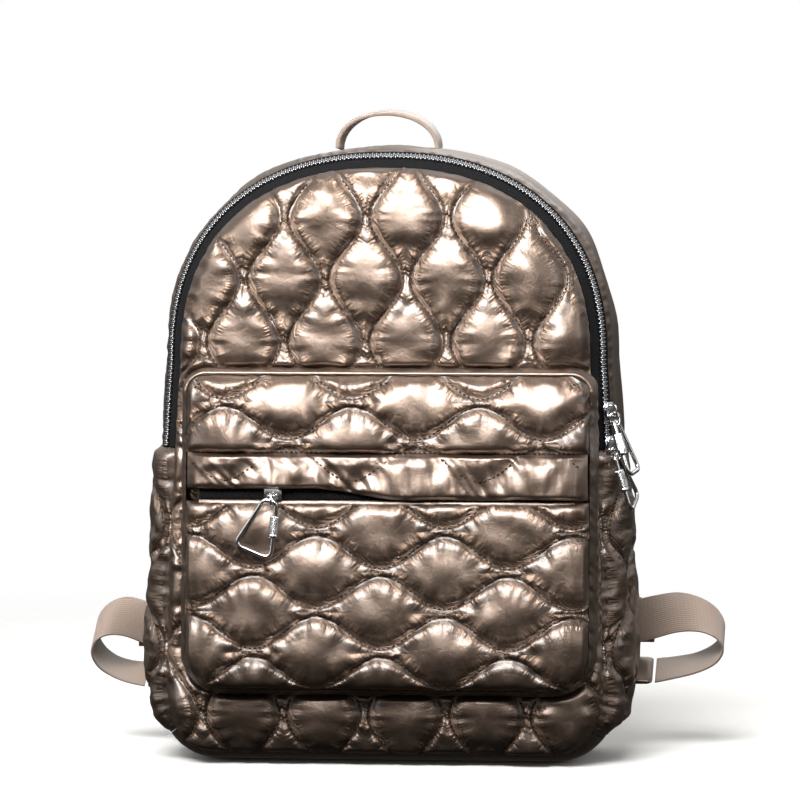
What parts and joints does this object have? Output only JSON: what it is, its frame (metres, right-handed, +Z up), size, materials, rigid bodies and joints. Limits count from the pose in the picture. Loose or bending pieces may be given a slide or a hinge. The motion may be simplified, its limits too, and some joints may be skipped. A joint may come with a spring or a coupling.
{
  "type": "quilted backpack",
  "caption": "Dome-shaped quilted puffer backpack with a zipped front pocket, a wrap-over main zip, a grab handle and padded adjustable shoulder straps.",
  "frame": {"origin": "middle of the flat base, on the ground plane", "axes": "+Z up, +Y from the front panel towards the back panel and the wearer, +X to the right of someone who looks at the front"},
  "size_m": [0.4237, 0.1891, 0.4241],
  "materials": {
    "quilted_nylon": "metallic-coated nylon, bronze and champagne, with a soft sheen",
    "webbing": "woven taupe webbing with a satin face",
    "zip_tape": "black woven tape and nylon coil",
    "zip_metal": "nickel-plated zip teeth",
    "hardware": "polished nickel plating"
  },
  "bodies": {
    "root": {"front_panel": "quilted_nylon", "side_panel_right": "quilted_nylon", "side_panel_left": "quilted_nylon", "bottom_panel": "quilted_nylon", "top_gusset": "quilted_nylon", "back_panel": "quilted_nylon", "zip_tape_front": "zip_tape", "zip_teeth": "zip_metal", "zip_tape_rear": "zip_tape", "pocket_lower_panel": "quilted_nylon", "pocket_upper_panel": "quilted_nylon", "pocket_welt": "quilted_nylon", "pocket_gusset": "quilted_nylon", "pocket_binding": "quilted_nylon", "pocket_zip_coil": "zip_tape", "pocket_zip_tape": "zip_tape", "pocket_slider": "hardware", "pocket_link": "hardware", "pocket_screw_link": "hardware", "pocket_sleeve": "hardware", "main_lower_slider": "hardware", "main_lower_link": "hardware", "main_lower_screw_link": "hardware", "main_lower_sleeve": "hardware", "main_upper_slider": "hardware", "main_upper_link": "hardware", "main_upper_screw_link": "hardware", "main_upper_sleeve": "hardware", "grab_handle": "webbing", "shoulder_strap_right": "quilted_nylon", "adjuster_right": "hardware", "adjuster_loop_right": "webbing", "strap_webbing_right": "webbing", "corner_tab_right": "quilted_nylon", "shoulder_strap_left": "quilted_nylon", "adjuster_left": "hardware", "adjuster_loop_left": "webbing", "strap_webbing_left": "webbing", "corner_tab_left": "quilted_nylon"}
  },
  "joints": []
}
